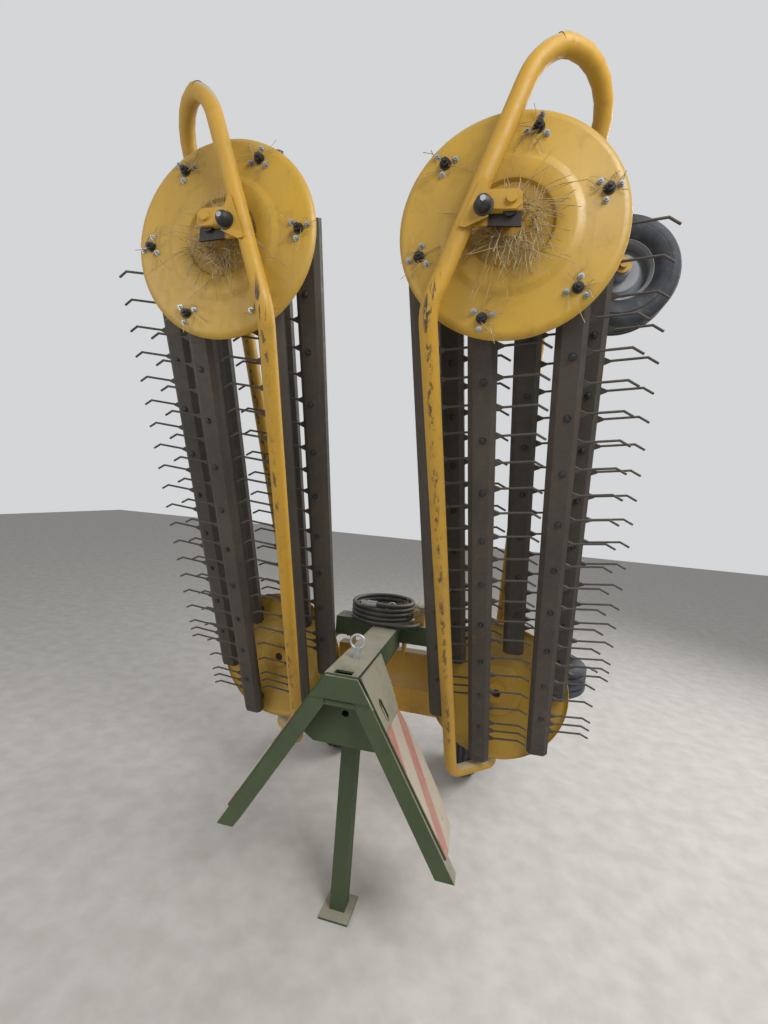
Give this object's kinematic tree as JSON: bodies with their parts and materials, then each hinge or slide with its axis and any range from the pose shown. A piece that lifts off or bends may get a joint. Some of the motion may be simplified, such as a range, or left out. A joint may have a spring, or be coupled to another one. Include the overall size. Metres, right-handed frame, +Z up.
{
  "type": "rotary hay rake",
  "caption": "Rotary hay rake folded upright on its parking stand: reels of parallel tine bars between yellow discs, looped tube frames, castor wheels and a green coupling triangle.",
  "frame": {"origin": "on the floor under the middle of the bounding box", "axes": "+Z up; +Y from the coupling triangle to the rear castors; +X to the right seen from the front"},
  "size_m": [2.022, 1.8657, 2.9495],
  "materials": {
    "green_paint": "worn satin, dusty on top",
    "yellow_paint": "faded satin with chips and rust",
    "board_stripes": "faded red and white diagonal stripes",
    "dark_steel": "oily",
    "bare_steel": "weathered",
    "tine_steel": "weathered, dusty",
    "hose_rubber": "dusty black",
    "tyre_rubber": "dusty",
    "rim_grey": "chalky"
  },
  "bodies": {
    "headstock": {"coupler_frame": "green_paint", "main_beam": "green_paint", "cross_beam": "green_paint", "headstock": "yellow_paint", "ring_pins": "bare_steel", "castor_carrier": "yellow_paint", "valve_block": "yellow_paint", "hose_lead": "hose_rubber", "hose_coil": "hose_rubber", "hose_plug": "bare_steel", "marker_board_right": "board_stripes", "marker_board_left": "board_stripes"},
    "stand": {"parking_stand": "green_paint"},
    "arm_right": {"loop_frame_right": "yellow_paint", "drive_motor_right": "dark_steel"},
    "upper_reel_right": {"upper_disc_right": "yellow_paint"},
    "lower_reel_right": {"lower_disc_right": "yellow_paint"},
    "barrel_right": {"fold_barrel_right": "dark_steel"},
    "rod_right": {"fold_rod_right": "bare_steel"},
    "tine_bar_right_1": {"tine_bar_right_1": "tine_steel"},
    "tine_bar_right_2": {"tine_bar_right_2": "tine_steel"},
    "tine_bar_right_3": {"tine_bar_right_3": "tine_steel"},
    "tine_bar_right_4": {"tine_bar_right_4": "tine_steel"},
    "tine_bar_right_5": {"tine_bar_right_5": "tine_steel"},
    "tine_bar_right_6": {"tine_bar_right_6": "tine_steel"},
    "outer_castor_right": {"outer_fork_right": "yellow_paint"},
    "outer_wheel_right": {"outer_tyre_right": "tyre_rubber", "outer_rim_right": "rim_grey"},
    "inner_castor_right": {"inner_fork_right": "yellow_paint"},
    "inner_wheel_right": {"inner_tyre_right": "tyre_rubber", "inner_rim_right": "rim_grey"},
    "rear_castor_right": {"rear_fork_right": "yellow_paint"},
    "rear_wheel_right": {"rear_tyre_right": "tyre_rubber", "rear_rim_right": "rim_grey"},
    "arm_left": {"loop_frame_left": "yellow_paint", "drive_motor_left": "dark_steel"},
    "upper_reel_left": {"upper_disc_left": "yellow_paint"},
    "lower_reel_left": {"lower_disc_left": "yellow_paint"},
    "barrel_left": {"fold_barrel_left": "dark_steel"},
    "rod_left": {"fold_rod_left": "bare_steel"},
    "tine_bar_left_1": {"tine_bar_left_1": "tine_steel"},
    "tine_bar_left_2": {"tine_bar_left_2": "tine_steel"},
    "tine_bar_left_3": {"tine_bar_left_3": "tine_steel"},
    "tine_bar_left_4": {"tine_bar_left_4": "tine_steel"},
    "tine_bar_left_5": {"tine_bar_left_5": "tine_steel"},
    "tine_bar_left_6": {"tine_bar_left_6": "tine_steel"},
    "outer_castor_left": {"outer_fork_left": "yellow_paint"},
    "outer_wheel_left": {"outer_tyre_left": "tyre_rubber", "outer_rim_left": "rim_grey"},
    "inner_castor_left": {"inner_fork_left": "yellow_paint"},
    "inner_wheel_left": {"inner_tyre_left": "tyre_rubber", "inner_rim_left": "rim_grey"},
    "rear_castor_left": {"rear_fork_left": "yellow_paint"},
    "rear_wheel_left": {"rear_tyre_left": "tyre_rubber", "rear_rim_left": "rim_grey"}
  },
  "joints": [
    {"name": "stand_swing", "type": "hinge", "parent": "headstock", "child": "stand", "pos_m": [0, -0.454, 0.8], "axis": [1, 0, 0], "range_deg": [0, 60]},
    {"name": "fold_right", "type": "hinge", "parent": "headstock", "child": "arm_right", "pos_m": [0.34, 0.22, 0.691], "axis": [0, 1, 0], "range_deg": [0, 90]},
    {"name": "barrel_right", "type": "hinge", "parent": "headstock", "child": "barrel_right", "pos_m": [0.055, 0.375, 0.955], "axis": [0, 1, 0], "range_deg": [0, 16.58]},
    {"name": "rod_right", "type": "slide", "parent": "barrel_right", "child": "rod_right", "axis": [0.9487, 0, -0.3162], "range_m": [0, 0.19176]},
    {"name": "reel_right", "type": "hinge", "parent": "arm_right", "child": "upper_reel_right", "pos_m": [0.454, -0.844, 2.47], "axis": [0, 1, 0], "continuous": true},
    {"name": "lower_reel_right", "type": "hinge", "parent": "arm_right", "child": "lower_reel_right", "pos_m": [0.543, 0.041, 0.8], "axis": [0, 1, 0], "continuous": true},
    {"name": "bar_right_1", "type": "hinge", "parent": "upper_reel_right", "child": "tine_bar_right_1", "pos_m": [0.70712, -0.814, 2.55176], "axis": [0, 1, 0], "continuous": true},
    {"name": "bar_right_2", "type": "hinge", "parent": "upper_reel_right", "child": "tine_bar_right_2", "pos_m": [0.65137, -0.814, 2.29167], "axis": [0, 1, 0], "continuous": true},
    {"name": "bar_right_3", "type": "hinge", "parent": "upper_reel_right", "child": "tine_bar_right_3", "pos_m": [0.39824, -0.814, 2.20991], "axis": [0, 1, 0], "continuous": true},
    {"name": "bar_right_4", "type": "hinge", "parent": "upper_reel_right", "child": "tine_bar_right_4", "pos_m": [0.20088, -0.814, 2.38824], "axis": [0, 1, 0], "continuous": true},
    {"name": "bar_right_5", "type": "hinge", "parent": "upper_reel_right", "child": "tine_bar_right_5", "pos_m": [0.25663, -0.814, 2.64833], "axis": [0, 1, 0], "continuous": true},
    {"name": "bar_right_6", "type": "hinge", "parent": "upper_reel_right", "child": "tine_bar_right_6", "pos_m": [0.50976, -0.814, 2.73009], "axis": [0, 1, 0], "continuous": true},
    {"name": "outer_swivel_right", "type": "hinge", "parent": "arm_right", "child": "outer_castor_right", "pos_m": [0.616, -0.393, 2.585], "axis": [1, 0, 0], "range_deg": [0, 180]},
    {"name": "outer_spin_right", "type": "hinge", "parent": "outer_castor_right", "child": "outer_wheel_right", "pos_m": [0.821, -0.393, 2.505], "axis": [0, 1, 0], "continuous": true},
    {"name": "inner_swivel_right", "type": "hinge", "parent": "arm_right", "child": "inner_castor_right", "pos_m": [0.58, 0.258, 0.83], "axis": [1, 0, 0], "range_deg": [-90, 90]},
    {"name": "inner_spin_right", "type": "hinge", "parent": "inner_castor_right", "child": "inner_wheel_right", "pos_m": [0.785, 0.328, 0.83], "axis": [0, 0, 1], "continuous": true},
    {"name": "rear_swivel_right", "type": "hinge", "parent": "headstock", "child": "rear_castor_right", "pos_m": [0.4, 0.643, 0.395], "axis": [0, 0, 1], "range_deg": [-90, 90]},
    {"name": "rear_spin_right", "type": "hinge", "parent": "rear_castor_right", "child": "rear_wheel_right", "pos_m": [0.4, 0.743, 0.19], "axis": [1, 0, 0], "continuous": true},
    {"name": "fold_left", "type": "hinge", "parent": "headstock", "child": "arm_left", "pos_m": [-0.34, 0.22, 0.691], "axis": [0, -1, 0], "range_deg": [0, 90]},
    {"name": "barrel_left", "type": "hinge", "parent": "headstock", "child": "barrel_left", "pos_m": [-0.055, 0.375, 0.955], "axis": [0, -1, 0], "range_deg": [0, 16.58]},
    {"name": "rod_left", "type": "slide", "parent": "barrel_left", "child": "rod_left", "axis": [-0.9487, 0, -0.3162], "range_m": [0, 0.19176]},
    {"name": "reel_left", "type": "hinge", "parent": "arm_left", "child": "upper_reel_left", "pos_m": [-0.454, -0.844, 2.47], "axis": [0, 1, 0], "continuous": true},
    {"name": "lower_reel_left", "type": "hinge", "parent": "arm_left", "child": "lower_reel_left", "pos_m": [-0.543, 0.041, 0.8], "axis": [0, 1, 0], "continuous": true},
    {"name": "bar_left_1", "type": "hinge", "parent": "upper_reel_left", "child": "tine_bar_left_1", "pos_m": [-0.60274, -0.814, 2.69052], "axis": [0, 1, 0], "continuous": true},
    {"name": "bar_left_2", "type": "hinge", "parent": "upper_reel_left", "child": "tine_bar_left_2", "pos_m": [-0.71935, -0.814, 2.45145], "axis": [0, 1, 0], "continuous": true},
    {"name": "bar_left_3", "type": "hinge", "parent": "upper_reel_left", "child": "tine_bar_left_3", "pos_m": [-0.57061, -0.814, 2.23092], "axis": [0, 1, 0], "continuous": true},
    {"name": "bar_left_4", "type": "hinge", "parent": "upper_reel_left", "child": "tine_bar_left_4", "pos_m": [-0.30525, -0.814, 2.24948], "axis": [0, 1, 0], "continuous": true},
    {"name": "bar_left_5", "type": "hinge", "parent": "upper_reel_left", "child": "tine_bar_left_5", "pos_m": [-0.18865, -0.814, 2.48855], "axis": [0, 1, 0], "continuous": true},
    {"name": "bar_left_6", "type": "hinge", "parent": "upper_reel_left", "child": "tine_bar_left_6", "pos_m": [-0.33739, -0.814, 2.70908], "axis": [0, 1, 0], "continuous": true},
    {"name": "outer_swivel_left", "type": "hinge", "parent": "arm_left", "child": "outer_castor_left", "pos_m": [-0.616, -0.393, 2.585], "axis": [1, 0, 0], "range_deg": [0, 180]},
    {"name": "outer_spin_left", "type": "hinge", "parent": "outer_castor_left", "child": "outer_wheel_left", "pos_m": [-0.821, -0.393, 2.505], "axis": [0, 1, 0], "continuous": true},
    {"name": "inner_swivel_left", "type": "hinge", "parent": "arm_left", "child": "inner_castor_left", "pos_m": [-0.58, 0.258, 0.83], "axis": [1, 0, 0], "range_deg": [-90, 90]},
    {"name": "inner_spin_left", "type": "hinge", "parent": "inner_castor_left", "child": "inner_wheel_left", "pos_m": [-0.785, 0.328, 0.83], "axis": [0, 0, 1], "continuous": true},
    {"name": "rear_swivel_left", "type": "hinge", "parent": "headstock", "child": "rear_castor_left", "pos_m": [-0.4, 0.643, 0.395], "axis": [0, 0, 1], "range_deg": [-90, 90]},
    {"name": "rear_spin_left", "type": "hinge", "parent": "rear_castor_left", "child": "rear_wheel_left", "pos_m": [-0.4, 0.743, 0.19], "axis": [1, 0, 0], "continuous": true}
  ],
  "couplings": [
    {"joint": "barrel_right", "follows": "fold_right", "ratio": 0.18202},
    {"joint": "rod_right", "follows": "fold_right", "m_per_rad": 0.12176},
    {"joint": "lower_reel_right", "follows": "reel_right", "ratio": 1},
    {"joint": "bar_right_1", "follows": "reel_right", "ratio": -1},
    {"joint": "bar_right_2", "follows": "reel_right", "ratio": -1},
    {"joint": "bar_right_3", "follows": "reel_right", "ratio": -1},
    {"joint": "bar_right_4", "follows": "reel_right", "ratio": -1},
    {"joint": "bar_right_5", "follows": "reel_right", "ratio": -1},
    {"joint": "bar_right_6", "follows": "reel_right", "ratio": -1},
    {"joint": "barrel_left", "follows": "fold_left", "ratio": 0.18202},
    {"joint": "rod_left", "follows": "fold_left", "m_per_rad": 0.12176},
    {"joint": "lower_reel_left", "follows": "reel_left", "ratio": 1},
    {"joint": "bar_left_1", "follows": "reel_left", "ratio": -1},
    {"joint": "bar_left_2", "follows": "reel_left", "ratio": -1},
    {"joint": "bar_left_3", "follows": "reel_left", "ratio": -1},
    {"joint": "bar_left_4", "follows": "reel_left", "ratio": -1},
    {"joint": "bar_left_5", "follows": "reel_left", "ratio": -1},
    {"joint": "bar_left_6", "follows": "reel_left", "ratio": -1}
  ]
}
